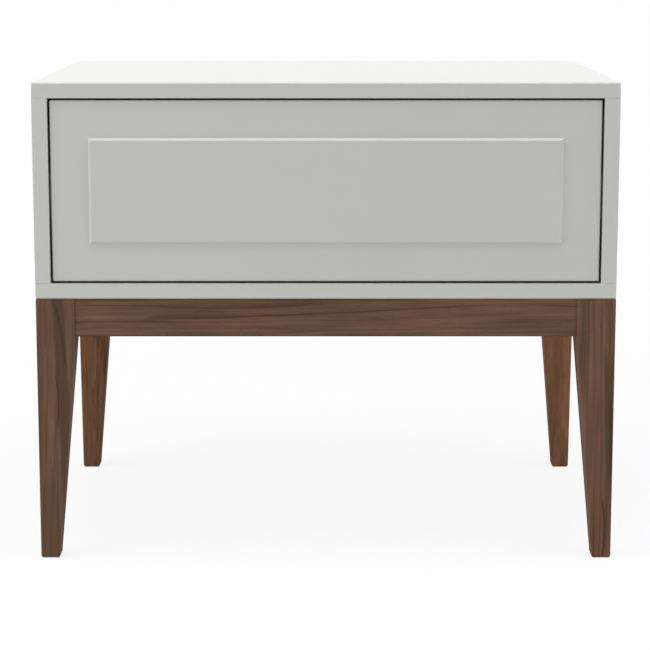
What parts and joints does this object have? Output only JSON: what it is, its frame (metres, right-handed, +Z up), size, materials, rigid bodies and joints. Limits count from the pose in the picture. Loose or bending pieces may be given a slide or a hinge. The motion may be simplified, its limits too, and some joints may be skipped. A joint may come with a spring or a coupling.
{
  "type": "nightstand",
  "caption": "Nightstand with a lacquered box, one push-to-open drawer with a raised field, and a walnut base with tapered legs.",
  "frame": {"origin": "on the floor under the middle of the box", "axes": "+X to the right seen from the front, +Y to the back, +Z up; the drawer opens towards -Y"},
  "size_m": [0.6, 0.4, 0.5],
  "materials": {
    "lacquer": "satin lacquer",
    "walnut": "oiled",
    "painted_hardboard": "painted",
    "drawer_ply": "clear lacquer",
    "beech": "bare",
    "zinc_alloy": "cast",
    "zinc_plated_steel": "zinc plated",
    "screw_steel": "zinc plated",
    "felt": "pressed felt",
    "latch_plastic": "moulded",
    "soft_tip": "soft"
  },
  "bodies": {
    "cabinet": {"top_board": "lacquer", "bottom_board": "lacquer", "left_side_board": "lacquer", "right_side_board": "lacquer", "back_board": "painted_hardboard", "carcass_dowels": "beech", "cam_bolts": "screw_steel", "cam_locks": "zinc_alloy", "front_left_leg": "walnut", "front_right_leg": "walnut", "rear_left_leg": "walnut", "rear_right_leg": "walnut", "front_apron": "walnut", "rear_apron": "walnut", "left_apron": "walnut", "right_apron": "walnut", "corner_blocks": "beech", "corner_block_screws": "screw_steel", "base_screws": "screw_steel", "floor_pads": "felt", "left_slide_cabinet_member": "zinc_plated_steel", "right_slide_cabinet_member": "zinc_plated_steel", "slide_cabinet_screws": "screw_steel", "push_latch_housing": "latch_plastic", "push_latch_plunger": "latch_plastic", "push_latch_tip": "soft_tip", "push_latch_screws": "screw_steel"},
    "drawer": {"drawer_front": "lacquer", "drawer_inner_front": "drawer_ply", "drawer_back": "drawer_ply", "drawer_left_side": "drawer_ply", "drawer_right_side": "drawer_ply", "drawer_bottom": "drawer_ply", "drawer_front_screws": "screw_steel", "strike_plate": "zinc_plated_steel", "left_slide_drawer_member": "zinc_plated_steel", "right_slide_drawer_member": "zinc_plated_steel", "slide_drawer_screws": "screw_steel"},
    "left_middle_member": {"left_slide_middle_member": "zinc_plated_steel"},
    "left_outer_cage": {"left_slide_outer_cage": "zinc_plated_steel"},
    "left_inner_cage": {"left_slide_inner_cage": "zinc_plated_steel"},
    "right_middle_member": {"right_slide_middle_member": "zinc_plated_steel"},
    "right_outer_cage": {"right_slide_outer_cage": "zinc_plated_steel"},
    "right_inner_cage": {"right_slide_inner_cage": "zinc_plated_steel"}
  },
  "joints": [
    {"name": "drawer_slide", "type": "slide", "parent": "cabinet", "child": "drawer", "axis": [0, -1, 0], "range_m": [-0.003, 0.3]},
    {"name": "left_middle_member_slide", "type": "slide", "parent": "cabinet", "child": "left_middle_member", "axis": [0, -1, 0], "range_m": [-0.0015, 0.15]},
    {"name": "left_outer_cage_slide", "type": "slide", "parent": "cabinet", "child": "left_outer_cage", "axis": [0, -1, 0], "range_m": [-0.00075, 0.075]},
    {"name": "left_inner_cage_slide", "type": "slide", "parent": "cabinet", "child": "left_inner_cage", "axis": [0, -1, 0], "range_m": [-0.00225, 0.225]},
    {"name": "right_middle_member_slide", "type": "slide", "parent": "cabinet", "child": "right_middle_member", "axis": [0, -1, 0], "range_m": [-0.0015, 0.15]},
    {"name": "right_outer_cage_slide", "type": "slide", "parent": "cabinet", "child": "right_outer_cage", "axis": [0, -1, 0], "range_m": [-0.00075, 0.075]},
    {"name": "right_inner_cage_slide", "type": "slide", "parent": "cabinet", "child": "right_inner_cage", "axis": [0, -1, 0], "range_m": [-0.00225, 0.225]}
  ],
  "couplings": [
    {"joint": "left_middle_member_slide", "follows": "drawer_slide", "ratio": 0.5},
    {"joint": "left_outer_cage_slide", "follows": "drawer_slide", "ratio": 0.25},
    {"joint": "left_inner_cage_slide", "follows": "drawer_slide", "ratio": 0.75},
    {"joint": "right_middle_member_slide", "follows": "drawer_slide", "ratio": 0.5},
    {"joint": "right_outer_cage_slide", "follows": "drawer_slide", "ratio": 0.25},
    {"joint": "right_inner_cage_slide", "follows": "drawer_slide", "ratio": 0.75}
  ]
}
